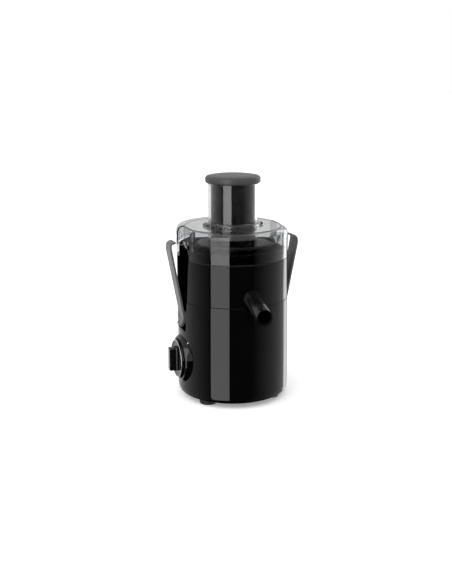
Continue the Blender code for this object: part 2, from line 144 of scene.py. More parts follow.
softbox("key_softbox", turn=radians(-26), distance=1.1, width=0.757, low=-0.75, high=1.3, power=6.5)
softbox("rim_softbox", turn=radians(141), distance=1.9, width=0.60, low=-0.9, high=1.5, power=5)
daylight = bpy.data.lights.new("daylight", "SUN")
daylight.angle = radians(60)
daylight.energy = 0.9
window = bpy.data.objects.new("daylight", daylight)
window.rotation_euler = (radians(42), 0, CAMERA_TURN - radians(50))
window.visible_glossy = False
scene.collection.objects.link(window)

camera_data = bpy.data.cameras.new("camera")
camera_data.lens = 53.57
camera_data.sensor_width = 36.0
camera_data.shift_x = -0.0118
camera_data.shift_y = 0.0108
camera = bpy.data.objects.new("camera", camera_data)
camera.location = (sin(CAMERA_TURN) * CAMERA_DISTANCE, AXIS_Y - cos(CAMERA_TURN) * CAMERA_DISTANCE,
                   CAMERA_HEIGHT)
camera.rotation_euler = (pi / 2 - CAMERA_TILT, 0, CAMERA_TURN)
scene.collection.objects.link(camera)
scene.camera = camera

# Motor base: a tall oval tub of black polystyrene, polished in the mould, with a shelf cut out
# behind for the pulp container and a deep recess in each side for a clamp. It is screwed to the
# base plate from below.
MM = 0.001


def begin(name):
    """Starts a piece as a single point at the origin, in edit mode."""
    bpy.ops.object.select_all(action="DESELECT")
    bpy.ops.mesh.primitive_plane_add(size=0.01, location=(0, 0, 0))
    piece = bpy.context.object
    piece.name = piece.data.name = name
    bpy.ops.object.mode_set(mode="EDIT")
    bpy.ops.mesh.select_mode(type="VERT")
    bpy.ops.mesh.select_all(action="SELECT")
    bpy.ops.mesh.merge(type="CENTER")
    return piece


def draw(points):
    """Extrudes the point along places in millimetres, measured from the motor axis."""
    places = [Vector((x * MM, AXIS_Y + y * MM, z * MM)) for x, y, z in points]
    bpy.ops.transform.translate(value=places[0])
    for here, there in zip(places, places[1:]):
        bpy.ops.mesh.extrude_region_move(TRANSFORM_OT_translate={"value": there - here})


def rounded(corners, steps=4):
    """Outline of (a, b, radius) corners, closed, with each corner turned to an arc."""
    line = []
    for k, (a, b, r) in enumerate(corners):
        here = Vector((a, b))
        back = (Vector(corners[k - 1][:2]) - here).normalized()
        ahead = (Vector(corners[(k + 1) % len(corners)][:2]) - here).normalized()
        half = back.angle(ahead) / 2 if r else 0
        if not r or half > radians(88):
            line.append((a, b))
            continue
        middle = here + (back + ahead).normalized() * (r / sin(half))
        start, stop = here + back * (r / tan(half)), here + ahead * (r / tan(half))
        one, two = start - middle, stop - middle
        sweep = atan2(one.x * two.y - one.y * two.x, one.dot(two))
        for i in range(steps + 1):
            t = sweep * i / steps
            line.append((middle.x + one.x * cos(t) - one.y * sin(t),
                         middle.y + one.x * sin(t) + one.y * cos(t)))
    return line


def footprint(front, rear, power=2.0, n=72):
    """The machine seen from above: half a circle in front of the motor axis, longer behind."""
    line = [(front * cos(a), front * sin(a)) for a in (-pi + pi * i / n for i in range(n + 1))]
    for i in range(1, n):
        a = pi * i / n
        x = abs(cos(a)) ** (2 / power) * front
        line.append((x if cos(a) > 0 else -x, sin(a) ** (2 / power) * rear))
    return line


def pick(test, kind="VERT"):
    """Selects only the vertices or faces of the edited piece that pass a test of their place."""
    mesh = bmesh.from_edit_mesh(bpy.context.edit_object.data)
    bpy.ops.mesh.select_mode(type=kind)
    for part in list(mesh.verts) + list(mesh.edges) + list(mesh.faces):
        part.select = False
    for part in (mesh.verts if kind == "VERT" else mesh.faces):
        where = part.co if kind == "VERT" else part.calc_center_median()
        place = Vector((where.x, where.y - AXIS_Y, where.z)) / MM
        if test(place) if kind == "VERT" else test(place, part.normal):
            part.select_set(True)
    mesh.select_flush_mode()
    bmesh.update_edit_mesh(bpy.context.edit_object.data)


def close():
    """Tidies the edited piece: doubles merged, faces turned out, back to object mode."""
    bpy.ops.mesh.select_all(action="SELECT")
    bpy.ops.mesh.remove_doubles(threshold=0.000002)
    bpy.ops.mesh.normals_make_consistent(inside=False)
    bpy.ops.object.mode_set(mode="OBJECT")


def stack(name, outline, levels, reach):
    """Raises an outline through (height, inset) levels, each one drawn in by its inset."""
    piece = begin(name)
    height, inset = levels[0]
    scale = (reach - inset) / reach
    draw([(x * scale, y * scale, height) for x, y in outline])
    bpy.ops.mesh.select_all(action="SELECT")
    bpy.ops.mesh.edge_face_add()
    for (z0, i0), (z1, i1) in zip(levels, levels[1:]):
        bpy.ops.mesh.extrude_region_move(TRANSFORM_OT_translate={"value": (0, 0, (z1 - z0) * MM)})
        change = (reach - i1) / (reach - i0)
        bpy.ops.transform.resize(value=(change, change, 1), center_override=(0, AXIS_Y, z1 * MM))
    close()
    return piece


def bar(name, outline, y0, y1):
    """A bar across the machine from an outline of (x, z); y0 may be a function of height."""
    piece = begin(name)
    draw([(x, y0(z) if callable(y0) else y0, z) for x, z in outline])
    bpy.ops.mesh.select_all(action="SELECT")
    bpy.ops.mesh.edge_face_add()
    bpy.ops.mesh.extrude_region_move(TRANSFORM_OT_translate={"value": (0, 0.01, 0)})
    bpy.ops.transform.resize(value=(1, 0, 1), center_override=(0, AXIS_Y + y1 * MM, 0))
    close()
    return piece


def round_bar(name, radius, start, stop, sides=96):
    """A cylinder between two places in millimetres."""
    a, b = Vector(start), Vector(stop)
    middle = (a + b) / 2 * MM + Vector((0, AXIS_Y, 0))
    bpy.ops.object.select_all(action="DESELECT")
    bpy.ops.mesh.primitive_cylinder_add(vertices=sides, radius=radius * MM,
                                        depth=(b - a).length * MM, location=middle,
                                        rotation=(b - a).to_track_quat("Z", "Y").to_euler())
    piece = bpy.context.object
    piece.name = name
    bpy.ops.object.transform_apply(location=True, rotation=True, scale=True)
    return piece


def choose(piece):
    """Makes a piece the only one selected, and the active one."""
    bpy.ops.object.select_all(action="DESELECT")
    piece.select_set(True)
    bpy.context.view_layer.objects.active = piece


def carve(piece, *tools, way="DIFFERENCE"):
    """Cuts the tools out of a piece, or joins them to it, and removes them."""
    choose(piece)
    for tool in tools:
        step = piece.modifiers.new("carve", "BOOLEAN")
        step.operation, step.solver, step.object = way, "EXACT", tool
        bpy.ops.object.modifier_apply(modifier=step.name)
        bpy.data.objects.remove(tool)


def soften(piece, width, segments=2, angle=40):
    """Rounds the sharp edges a little and shades the rest smooth."""
    choose(piece)
    step = piece.modifiers.new("soften", "BEVEL")
    step.width, step.segments = width * MM, segments
    step.limit_method, step.angle_limit = "ANGLE", radians(angle)
    step.use_clamp_overlap = True
    bpy.ops.object.modifier_apply(modifier=step.name)
    bpy.ops.object.shade_smooth_by_angle(angle=radians(30))
    evened = piece.modifiers.new("evened", "WEIGHTED_NORMAL")
    evened.keep_sharp = True
    bpy.ops.object.modifier_apply(modifier=evened.name)


def arc(r, start, stop, n=40):
    """Places on a circle round the motor axis, from one angle to another."""
    return [(r * cos(start + (stop - start) * i / n), r * sin(start + (stop - start) * i / n))
            for i in range(n + 1)]


def recess_front(z):
    """How far forward a clamp's recess reaches at a height: wider at the top than at the hinge."""
    return -19.8 - 0.0707 * (z - 129.0)


def plastic(name, color, rough, grain=900.0, depth=0.02, uneven=0.03, coat=0.0, metal=0.0):
    """Moulded plastic: a fine skin, a slightly uneven polish and a little wear in its colour."""
    look = bpy.data.materials.new(name)
    look.use_nodes = True
    tree = look.node_tree
    shader = tree.nodes["Principled BSDF"]
    place = tree.nodes.new("ShaderNodeTexCoord")
    cloudy = tree.nodes.new("ShaderNodeTexNoise")
    cloudy.inputs["Scale"].default_value = 38.0
    cloudy.inputs["Detail"].default_value = 6.0
    tree.links.new(place.outputs["Object"], cloudy.inputs["Vector"])
    polish = ranged(tree, cloudy.outputs["Fac"], 0.3, 0.75,
                    max(0.0, rough - uneven), rough + uneven)
    tree.links.new(polish, shader.inputs["Roughness"])
    tint = tree.nodes.new("ShaderNodeMix")
    tint.data_type = "RGBA"
    tint.inputs["A"].default_value = (*[c * 0.88 for c in color], 1)
    tint.inputs["B"].default_value = (*[min(1, c * 1.12) for c in color], 1)
    tree.links.new(cloudy.outputs["Fac"], tint.inputs["Factor"])
    tree.links.new(tint.outputs["Result"], shader.inputs["Base Color"])
    skin = tree.nodes.new("ShaderNodeTexNoise")
    skin.inputs["Scale"].default_value = grain
    skin.inputs["Detail"].default_value = 3.0
    tree.links.new(place.outputs["Object"], skin.inputs["Vector"])
    bump = tree.nodes.new("ShaderNodeBump")
    bump.inputs["Strength"].default_value = depth
    bump.inputs["Distance"].default_value = 0.0003
    tree.links.new(skin.outputs["Fac"], bump.inputs["Height"])
    tree.links.new(bump.outputs["Normal"], shader.inputs["Normal"])
    shader.inputs["Metallic"].default_value = metal
    shader.inputs["Coat Weight"].default_value = coat
    shader.inputs["Coat Roughness"].default_value = 0.03
    return look


GLOSS_BLACK = plastic("gloss_black_plastic", (0.0016, 0.0016, 0.0018), 0.04, 260.0, 0.012, 0.015)
FRONT_R, REAR_R, GAP = 84.0, 94.0, 0.3
DECK_Z, LEDGE_Z, BAY_R, BAY_Y = 153.0, 88.0, 70.0, 28.0
HINGE_X, HINGE_Z, PIN_BORE_R = 76.5, 129.0, 1.8
RECESS_FLOOR, RECESS_REAR, OUTSIDE = 71.8, 21.0, 92
DIAL_Z, DIAL_SEAT_R, DIAL_SEAT_X, GLAND_Z = 62.0, 36.5, -73.7, 24
BASE_LEVELS = [(7.5, 4.5), (8.0, 3.2), (8.8, 2.0), (10.2, 1.1), (12.2, 0.5), (15.0, 0.15),
               (18.0, 0), (60.0, 0.3), (90.0, 0.6), (120.0, 1.0), (DECK_Z - 0.5, 1.4),
               (DECK_Z - 0.2, 1.55), (DECK_Z, 1.9)]


def bay_outline(r):
    """The pulp container's bay: everything behind a front wall that curves round the sieve."""
    lean = atan2(BAY_Y, sqrt(r * r - BAY_Y * BAY_Y))
    return arc(r, pi - lean, lean, 64) + [(120, BAY_Y), (120, 130), (-120, 130), (-120, BAY_Y)]


def room_outline(r_front, r_rear, x_side, y_side, y_bay):
    """The hollow of a shell: round in front and behind, flat beside the clamps' recesses."""
    a = atan2(y_side, sqrt(r_front ** 2 - y_side ** 2))
    b = atan2(y_bay, sqrt(r_rear ** 2 - y_bay ** 2))
    return (arc(r_front, -pi + a, -a, 60) + [(x_side, -y_side), (x_side, y_bay)]
            + arc(r_rear, b, pi - b, 56) + [(-x_side, y_bay), (-x_side, -y_side)])


motor_base = stack("motor_base_shell", footprint(FRONT_R, REAR_R), BASE_LEVELS, FRONT_R)
carve(motor_base, stack("bay", bay_outline(BAY_R), [(LEDGE_Z, 0), (300, 0)], 100),
      stack("low_room", [(max(x, -71.0), y) for x, y in footprint(79.2, 89.2)],
            [(-2, 0), (LEDGE_Z - 3, 0)], 100),
      stack("high_room", room_outline(79.6, 67.0, 68.8, 31, 25),
            [(LEDGE_Z - 5, 0), (DECK_Z - 3, 0)], 100))
for side in (-1, 1):
    section = [(OUTSIDE, 106, 0), (84.5, 106.6, 0), (RECESS_FLOOR, 111, 6), (RECESS_FLOOR, 170, 0),
               (OUTSIDE, 170, 0)]
    carve(motor_base,
          bar("recess", [(side * x, z) for x, z in rounded(section)], recess_front, RECESS_REAR),
          round_bar("pin_bore", PIN_BORE_R, (side * HINGE_X, -23.5, HINGE_Z),
                    (side * HINGE_X, 23.5, HINGE_Z), 24))
carve(motor_base,
      round_bar("dial_seat", DIAL_SEAT_R, (-100, 0, DIAL_Z), (DIAL_SEAT_X, 0, DIAL_Z), 144),
      round_bar("dial_bore", 3.6, (-80, 0, DIAL_Z), (-60, 0, DIAL_Z), 32),
      round_bar("shaft_hole", 9.0, (0, 0, 140), (0, 0, 160), 64),
      round_bar("gland_bore", 6.3, (0, 80, GLAND_Z), (0, 110, GLAND_Z), 32))
soften(motor_base, 0.6)
motor_base.data.materials.append(GLOSS_BLACK)
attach(motor_base, "housing")
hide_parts("motor_housing")

# Juice collector: the black gloss bowl that stands on the motor base and catches the juice round
# the sieve. Its wall steps in under the lid's skirt and at the clamps, and it opens behind into
# the pulp container's bay.
SHELL_R, SKIRT_Z, RIM_Z = 82.0, 216.0, 231.0
COLLECTOR_RECESS_X, NECK_NOTCH_X = 70.5, 68.2
COLLECTOR_LEVELS = [(DECK_Z + GAP, 0.5), (DECK_Z + 0.5, 0.15), (DECK_Z + 0.8, 0),
                    (185.0, 0), (215.2, 0), (215.7, 0.2), (216.0, 0.7), (SKIRT_Z, 2.6),
                    (230.2, 2.6), (230.8, 2.8), (RIM_Z, 3.3)]
ROOT_Y, ROOT_Z, TIP_Y, TIP_Z = -82.3, 167.5, -131.5, 151.5
SPOUT_R, SPOUT_BORE_R = 12.1, 9.8
SPOUT_SLOPE = (TIP_Z - ROOT_Z) / (TIP_Y - ROOT_Y)


def spout_tube(name, radius, near, far, sides=72):
    """A round bar along the spout, whose ends stand upright."""
    piece = begin(name)
    height = ROOT_Z + SPOUT_SLOPE * (near - ROOT_Y)
    draw([(radius * cos(2 * pi * i / sides), near, height + radius * sin(2 * pi * i / sides))
          for i in range(sides)])
    bpy.ops.mesh.select_all(action="SELECT")
    bpy.ops.mesh.edge_face_add()
    step = (far - near) * MM
    bpy.ops.mesh.extrude_region_move(
        TRANSFORM_OT_translate={"value": (0, step, step * SPOUT_SLOPE)})
    close()
    return piece


collector = stack("juice_collector_bowl", footprint(SHELL_R, 93.5), COLLECTOR_LEVELS, SHELL_R)
for side in (-1, 1):
    low, high = [
        [(side * x, z) for x, z in ((OUTSIDE, z0), (inner, z0), (inner, z1), (OUTSIDE, z1))]
        for inner, z0, z1 in ((COLLECTOR_RECESS_X, 140, 220), (NECK_NOTCH_X, SKIRT_Z, 240))]
    carve(collector, bar("recess", low, recess_front, RECESS_REAR),
          bar("notch", high, lambda z: recess_front(z) - 2.3, RECESS_REAR + 2.3))
carve(collector, stack("bay", bay_outline(BAY_R - 1), [(140, 0), (300, 0)], 100),
      stack("bowl", room_outline(77.4, 66.4, 65.8, 32, 25), [(158, 0), (250, 0)], 100),
      round_bar("drive_hole", 19.5, (0, 0, 140), (0, 0, 180), 96),
      spout_tube("spout_bore", SPOUT_BORE_R, -70, -90))
soften(collector, 0.45)
collector.data.materials.append(GLOSS_BLACK)
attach(collector, "collector")
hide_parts("juice_collector")

# Pouring spout: a plain black gloss tube, moulded separately and pressed over the outlet, cut off
# upright at its mouth with a rounded lip.
spout = spout_tube("pouring_spout_tube", SPOUT_R, TIP_Y, -70)
carve(spout, spout_tube("bore", SPOUT_BORE_R + 0.1, TIP_Y - 5, -60),
      round_bar("collector_wall", SHELL_R + GAP, (0, 0, 120), (0, 0, 220), 192))
soften(spout, 0.9, 4)
spout.data.materials.append(GLOSS_BLACK)
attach(spout, "collector")
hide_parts("pouring_spout")

# Pulp container: a thin crescent-shaped black gloss box on the shelf behind the collector. It steps
# in under the lid's skirt and is open at the top.
NECK, NECK_BACK, WIDE, WIDE_BACK, SHOULDER_Z = 78.0, 92.0, 81.5, 93.0, 215.6
BOX_WALL = 2.0


def crescent(inset, half=NECK, back=NECK_BACK):
    """The container seen from above, drawn in all round by an inset."""
    y0, ri, back, half = BAY_Y + GAP + inset, BAY_R + 1.2 + inset, back - inset, half - inset
    power = 2.3
    a = (y0 / back) ** (power / 2)
    a = atan2(a, sqrt(1 - a * a))
    outer = []
    for i in range(61):
        t = a + (pi - 2 * a) * i / 60
        x = abs(cos(t)) ** (2 / power) * half
        outer.append((x if cos(t) > 0 else -x, sin(t) ** (2 / power) * back))
    b = atan2(y0, sqrt(ri * ri - y0 * y0))
    return outer + arc(ri, pi - b, b, 60)


container = stack("pulp_container_box", crescent(0, WIDE, WIDE_BACK),
                  [(LEDGE_Z + GAP, 0), (SHOULDER_Z, 0)], 100)
carve(container, stack("neck", crescent(0), [(SHOULDER_Z - 10, 0), (RIM_Z, 0)], 100), way="UNION")
carve(container,
      stack("inside", crescent(BOX_WALL, WIDE, WIDE_BACK), [(LEDGE_Z + 3, 0), (212.0, 0)], 100),
      stack("inside_neck", crescent(BOX_WALL), [(LEDGE_Z + 3, 0), (RIM_Z + 20, 0)], 100))
soften(container, 0.8, 3)
container.data.materials.append(GLOSS_BLACK)
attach(container, "container")
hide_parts("pulp_container")

# Lid: a clear styrene moulding, 2 mm thick, with a broad round shoulder, a turned step round its
# flat top, a black ring set in that step's groove as painted shade, a skirt over the collector's
# rim, and at each side a ribbed notch with a wedge-shaped catch for the clamp.
LID_Z, LID_REAR, FULL, LID_WALL = 261.0, 95.5, 2.3, 2.0
LID_NOTCH_X, SKIRT_END = 70.5, SKIRT_Z + GAP


def clear_plastic(name, color, rough):
    """Clear moulded styrene with a polished skin."""
    look = plastic(name, color, rough, 120.0, 0.006, rough * 0.6)
    shader = look.node_tree.nodes["Principled BSDF"]
    shader.inputs["Transmission Weight"].default_value = 1.0
    shader.inputs["IOR"].default_value = 1.49
    return look


CLEAR = clear_plastic("clear_styrene", (0.60, 0.605, 0.61), 0.02)
TUBE_CLEAR = clear_plastic("clear_styrene_tube", (0.90, 0.905, 0.91), 0.02)
lid = stack("lid_shell", footprint(SHELL_R, LID_REAR, FULL),
            [(SKIRT_END, 0), (235.0, 0), (LID_Z, 0)], SHELL_R)
choose(lid)
bpy.ops.object.mode_set(mode="EDIT")
pick(lambda place, normal: normal.z > 0.9, "FACE")
bpy.ops.mesh.bevel(offset=9.5 * MM, segments=9, affect="EDGES")
close()
for side in (-1, 1):
    block = [(side * x, z)
             for x, z in ((95, 205), (LID_NOTCH_X, 205), (LID_NOTCH_X, 275), (95, 275))]
    carve(lid, bar("notch", block, recess_front, RECESS_REAR))
choose(lid)
bpy.ops.object.mode_set(mode="EDIT")
pick(lambda place, normal: normal.z < -0.9 and place.z < SKIRT_END + 0.7, "FACE")
bpy.ops.mesh.delete(type="FACE")
bpy.ops.object.mode_set(mode="OBJECT")
wall = lid.modifiers.new("wall", "SOLIDIFY")
wall.thickness, wall.offset, wall.use_even_offset = LID_WALL * MM, -1, True
bpy.ops.object.modifier_apply(modifier=wall.name)
bpy.ops.object.select_all(action="DESELECT")
bpy.ops.mesh.primitive_cube_add(size=1, location=(0, AXIS_Y + (BAY_Y - 0.3 + 60) * MM, 0.2111))
rear_trim = bpy.context.object
rear_trim.scale = (0.24, 0.12, 0.0422)
bpy.ops.object.transform_apply(location=True, rotation=True, scale=True)
carve(lid, rear_trim, round_bar("tube_hole", 37.2, (0, 0, 240), (0, 0, 280), 128))


def turned(name, profile, steps=128, centre=(0, 0, 0), axis="Z"):
    """Turns a profile of (radius, place along the axis) round an axis through the centre."""
    piece = begin(name)
    cx, cy, cz = centre
    along = Vector([float(axis == letter) for letter in "XYZ"])
    outward = Vector((0, 0, 1)) if axis == "X" else Vector((1, 0, 0))
    draw([Vector(centre) + outward * r + along * h for r, h in profile])
    bpy.ops.mesh.select_all(action="SELECT")
    bpy.ops.mesh.spin(steps=steps, angle=2 * pi, center=(cx * MM, AXIS_Y + cy * MM, cz * MM),
                      axis=along)
    close()
    return piece


def looped(corners, steps=4):
    """A rounded outline that ends where it starts, for a ring or a tube."""
    line = rounded(corners, steps)
    return line + [line[0]]


carve(lid, turned("groove", looped([(71.3, 260.1, 0), (72.5, 260.1, 0), (72.9, 262, 0),
                                    (70.9, 262, 0)]), 160))
for side in (-1, 1):
    wedge = [(side * x, z) for x, z in ((69.6, 224), (76.5, 238.6), (76.5, 240.5), (69.6, 240.5))]
    carve(lid, bar("catch", wedge, -6, 6), way="UNION")
    for y in (-16.8, 15.8):
        rib = [(side * x, z) for x, z in ((69.8, 222), (71.4, 222), (71.4, 258), (69.8, 258))]
        carve(lid, bar("rib", rib, y, y + 1.0), way="UNION")
soften(lid, 0.25)
lid.data.materials.append(CLEAR)
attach(lid, "lid")
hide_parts("lid")
# Painted shade: a thin black ring in the groove round the flat top, standing in for the dark shadow
# line there.
painted_shade_ring = turned("painted_shade_groove_ring", looped([(71.45, 260.15, 0.1), (72.4, 260.15, 0.1),
                                            (72.75, 261.2, 0.3), (71.05, 261.2, 0.3)], 2), 160)
bpy.ops.object.shade_smooth_by_angle(angle=radians(50))
painted_shade_ring.data.materials.append(GLOSS_BLACK)
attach(painted_shade_ring, "lid")

# Feed tube: a clear tube welded into the lid, with polished ends and a collar standing on the lid's
# top, with two small black blocks beside it as painted shade. It reaches down inside the sieve.
TUBE_R, TUBE_BORE, TUBE_FOOT, TUBE_TOP = 36.9, 34.7, 192.5, 324.0
COLLAR_R, COLLAR_Z = 41.7, LID_Z + 5.2
feed_tube = turned("feed_tube_clear", looped([
    (TUBE_R, TUBE_FOOT, 0.8), (TUBE_R, LID_Z + GAP, 0), (COLLAR_R, LID_Z + GAP, 0.4),
    (COLLAR_R, COLLAR_Z, 1.6), (TUBE_R, COLLAR_Z, 1.0), (TUBE_R, TUBE_TOP, 0.9),
    (TUBE_BORE, TUBE_TOP, 0.9), (TUBE_BORE, TUBE_FOOT, 0.8)]))
soften(feed_tube, 0.1, 1, 60)
feed_tube.data.materials.append(TUBE_CLEAR)
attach(feed_tube, "lid")
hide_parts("feed_tube")
# Painted shade: two small black blocks at the sides of the collar, standing in for the dark notches
# of shade and dark reflection in the clear plastic there.
for side, word in ((-1, "left"), (1, "right")):
    section = [(side * x, LID_Z + z)
               for x, z in ((42.0, 0.4), (44.6, 0.4), (44.6, 3.0), (42.0, 4.2))]
    shade_notch = bar("painted_shade_notch_" + word, section, -9.0, 9.0)
    soften(shade_notch, 0.3)
    shade_notch.data.materials.append(GLOSS_BLACK)
    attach(shade_notch, "lid")

# Pusher: a dark grey polypropylene cup that slides in the feed tube, closed at the bottom.
PUSHER_GREY = plastic("pusher_grey_plastic", (0.020, 0.020, 0.021), 0.13, 500.0, 0.02, 0.04)
pusher = turned("pusher_cup", rounded([(0, 196, 0), (33.2, 196, 2.4), (33.2, TUBE_TOP, 0),
                                       (30.8, TUBE_TOP, 0), (30.8, 199, 1.5), (0, 199, 0)]))
soften(pusher, 0.2, 2, 60)
pusher.data.materials.append(PUSHER_GREY)
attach(pusher, "pusher")
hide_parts("pusher_body")

# Pusher cap: a satin mid grey disc with a softly rounded rim, snapped on the pusher as its handle.
CAP_GREY = plastic("cap_grey_plastic", (0.041, 0.041, 0.042), 0.42, 1400.0, 0.10, 0.06)
CAP_TOP, CAP_R = 337.3, 41.0
cap = turned("pusher_cap_disc", rounded([(0, CAP_TOP, 0), (30, CAP_TOP - 1.0, 26),
                                         (CAP_R, CAP_TOP - 2.9, 4.2), (CAP_R, TUBE_TOP + GAP, 3.0),
                                         (0, TUBE_TOP + GAP, 0)], 8))
soften(cap, 0.1, 1, 80)
cap.data.materials.append(CAP_GREY)
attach(cap, "pusher")
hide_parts("pusher_cap")

# Side clamps: two glass-filled nylon levers in satin mid grey. Each turns on a steel pin low in the
# base and ends above in a hooked arch that snaps over the catch on the lid.
CLAMP_GREY = plastic("clamp_grey_plastic", (0.085, 0.085, 0.088), 0.33, 1600.0, 0.12, 0.06)
CLAMP_REST = 10.5
CLAMP_EDGE = [(13.0, -12.5, 1.6), (8.6, -7.4, 4.0), (5.6, -1.0, 6.0), (5.5, 60.0, 0),
              (5.5, 104.0, 6), (3.9, 112.2, 6.0), (-0.6, 115.0, 5.0), (-5.6, 115.0, 0.9),
              (-5.6, 112.1, 0.8), (0.0, 112.0, 1.6), (2.0, 110.0, 2.0), (2.6, 104.0, 4),
              (2.6, 60.0, 0), (2.6, 9.0, 4.0), (-2.4, 4.2, 2.0), (-4.0, 0.0, 2.0),
              (-2.6, -3.6, 2.0), (5.0, -10.4, 3.0), (10.2, -14.2, 1.4)]


def clamp_half_width(height):
    """Half a lever's width above its pin: narrow at the heel, and drawn in over the arch."""
    if height < -4:
        return 9.6 + (height + 14) * 0.14
    if height < 104:
        return 11.0 + 0.0224 * height
    return 13.3 - 2.7 * ((height - 104) / 11.0) ** 2


for side, word in ((-1, "left"), (1, "right")):
    line = [(side * (HINGE_X + u), HINGE_Z + w) for u, w in rounded(CLAMP_EDGE, 5)]
    clamp = bar("clamp_lever_" + word, line, -1.0, 1.0)
    bpy.ops.object.mode_set(mode="EDIT")
    mesh = bmesh.from_edit_mesh(clamp.data)
    for corner in mesh.verts:
        widen = clamp_half_width(corner.co.z / MM - HINGE_Z)
        corner.co.y = AXIS_Y + (corner.co.y - AXIS_Y) * widen
    bmesh.update_edit_mesh(clamp.data)
    close()
    soften(clamp, 0.9, 3, 50)
    carve(clamp, round_bar("bore", PIN_BORE_R, (side * HINGE_X, -20, HINGE_Z),
                           (side * HINGE_X, 20, HINGE_Z), 32))
    bpy.ops.object.mode_set(mode="EDIT")
    bpy.ops.mesh.select_all(action="SELECT")
    bpy.ops.transform.rotate(value=-side * radians(CLAMP_REST), orient_axis="Y",
                             center_override=(side * HINGE_X * MM, AXIS_Y, HINGE_Z * MM))
    bpy.ops.object.mode_set(mode="OBJECT")
    bpy.ops.object.shade_smooth_by_angle(angle=radians(30))
    clamp.data.materials.append(CLAMP_GREY)
    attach(clamp, "clamp_" + word)
    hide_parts("clamp_" + word)

# Dial bezel: a black gloss ring pressed into a round seat in the left side. Its outer edge follows
# the curve of the base and it rises to a flat round lip about the knob.
BEZEL_R, BEZEL_BORE, BEZEL_FOOT, BEZEL_LIP = 36.2, 30.2, -74.0, -86.9
DIAL = (0, 0, DIAL_Z)
bezel = turned("dial_bezel_ring", [
    (BEZEL_R, BEZEL_FOOT), (BEZEL_R, -80.0), (35.7, -80.6), (34.4, -83.2), (33.2, -85.2),
    (32.2, -86.4), (31.4, BEZEL_LIP), (30.7, BEZEL_LIP), (BEZEL_BORE, -86.4),
    (BEZEL_BORE, BEZEL_FOOT), (BEZEL_R, BEZEL_FOOT)], 144, DIAL, "X")
bpy.ops.object.mode_set(mode="EDIT")
mesh = bmesh.from_edit_mesh(bezel.data)
for corner in mesh.verts:
    y, z = (corner.co.y - AXIS_Y) / MM, corner.co.z / MM - DIAL_Z
    x, r = corner.co.x / MM, hypot(y, z)
    wall_x = -FRONT_R * sqrt(1 - (y / (FRONT_R if y < 0 else REAR_R)) ** 2)
    share = max(0.0, min(1.0, (BEZEL_R - r) / 4.0))
    if x < -79:
        corner.co.x = (wall_x + (BEZEL_LIP - wall_x) * sin(share * pi / 2)
                       + (0.5 if r < 30.5 else 0.0)) * MM
bmesh.update_edit_mesh(bezel.data)
close()
soften(bezel, 0.15, 1, 60)
bezel.data.materials.append(GLOSS_BLACK)
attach(bezel, "housing")
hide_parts("dial_bezel")

# Pointer mark: a short white line, pad-printed on the base beside the bezel, that the grip is set
# against.
MARK_WHITE = plastic("white_print", (0.80, 0.80, 0.80), 0.5, 1500.0, 0.02, 0.05)
mark = begin("dial_pointer_mark")
outward = Vector((-23.5, 28.0)).normalized()
aside = Vector((-outward.y, outward.x)) * 0.5
spots = [outward * r + aside * s for r, s in ((37.4, -1), (41.2, -1), (41.2, 1), (37.4, 1))]
draw([(-FRONT_R * sqrt(1 - (y / FRONT_R) ** 2) - 0.02, y, DIAL_Z + z) for y, z in spots])
bpy.ops.mesh.select_all(action="SELECT")
bpy.ops.mesh.edge_face_add()
bpy.ops.mesh.extrude_region_move(TRANSFORM_OT_translate={"value": (-0.15 * MM, 0, 0)})
close()
soften(mark, 0.04, 1)
mark.data.materials.append(MARK_WHITE)
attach(mark, "housing")

# Speed knob: a black gloss disc with a thin silver ring round its face, a black grip bar across it
# and a silver strip let into the end of the bar.
SILVER = plastic("silver_lacquer", (0.60, 0.61, 0.62), 0.22, 1800.0, 0.03, 0.05, 0.3, 0.85)
disc = turned("knob_disc", rounded([(0, -80.5, 0), (28.8, -80.5, 0.4), (28.8, -90.6, 0.8),
                                    (24.6, -90.6, 0.3), (24.2, -90.2, 0.3), (0, -90.2, 0)]),
              144, DIAL, "X")
soften(disc, 0.1, 1, 60)
disc.data.materials.append(GLOSS_BLACK)
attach(disc, "knob")
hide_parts("knob_skirt")
trim = turned("knob_trim_ring", looped([(28.6, -90.7, 0.2), (28.3, -91.3, 0.3), (27.3, -91.3, 0.3),
                                        (27.0, -90.7, 0.2)]), 144, DIAL, "X")
bpy.ops.object.shade_smooth_by_angle(angle=radians(50))
trim.data.materials.append(SILVER)
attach(trim, "knob")


def grip_block(name, levels, corner):
    """A rounded bar standing out to the left: (x, half width, half height) levels."""
    x0, half_y, half_z = levels[0]
    piece = begin(name)
    box_line = rounded([(half_y, half_z, corner), (-half_y, half_z, corner),
                        (-half_y, -half_z, corner), (half_y, -half_z, corner)], 6)
    draw([(x0, y, DIAL_Z + z) for y, z in box_line])
    bpy.ops.mesh.select_all(action="SELECT")
    bpy.ops.mesh.edge_face_add()
    for (xa, ya, za), (xb, yb, zb) in zip(levels, levels[1:]):
        bpy.ops.mesh.extrude_region_move(TRANSFORM_OT_translate={"value": ((xb - xa) * MM, 0, 0)})
        bpy.ops.transform.resize(value=(1, yb / ya, zb / za),
                                 center_override=(0, AXIS_Y, DIAL_Z * MM))
    close()
    return piece


GRIP_BLACK = plastic("grip_black_plastic", (0.004, 0.004, 0.0045), 0.13, 900.0, 0.03, 0.05)
grip = grip_block("knob_grip_bar", [
    (-90.9, 7.6, 18.6), (-91.6, 6.6, 18.4), (-93.2, 5.8, 18.2), (-101.2, 5.4, 18.0),
    (-102.0, 5.1, 17.7), (-102.3, 4.7, 17.3)], 3.0)
soften(grip, 0.1, 1, 60)
grip.data.materials.append(GRIP_BLACK)
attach(grip, "knob")
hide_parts("knob_grip")
strip = grip_block("knob_strip", [(-102.6, 4.2, 16.6), (-102.95, 4.2, 16.6),
                                  (-103.1, 4.0, 16.4)], 2.0)
soften(strip, 0.05, 1, 60)
strip.data.materials.append(SILVER)
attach(strip, "knob")
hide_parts("knob_insert")

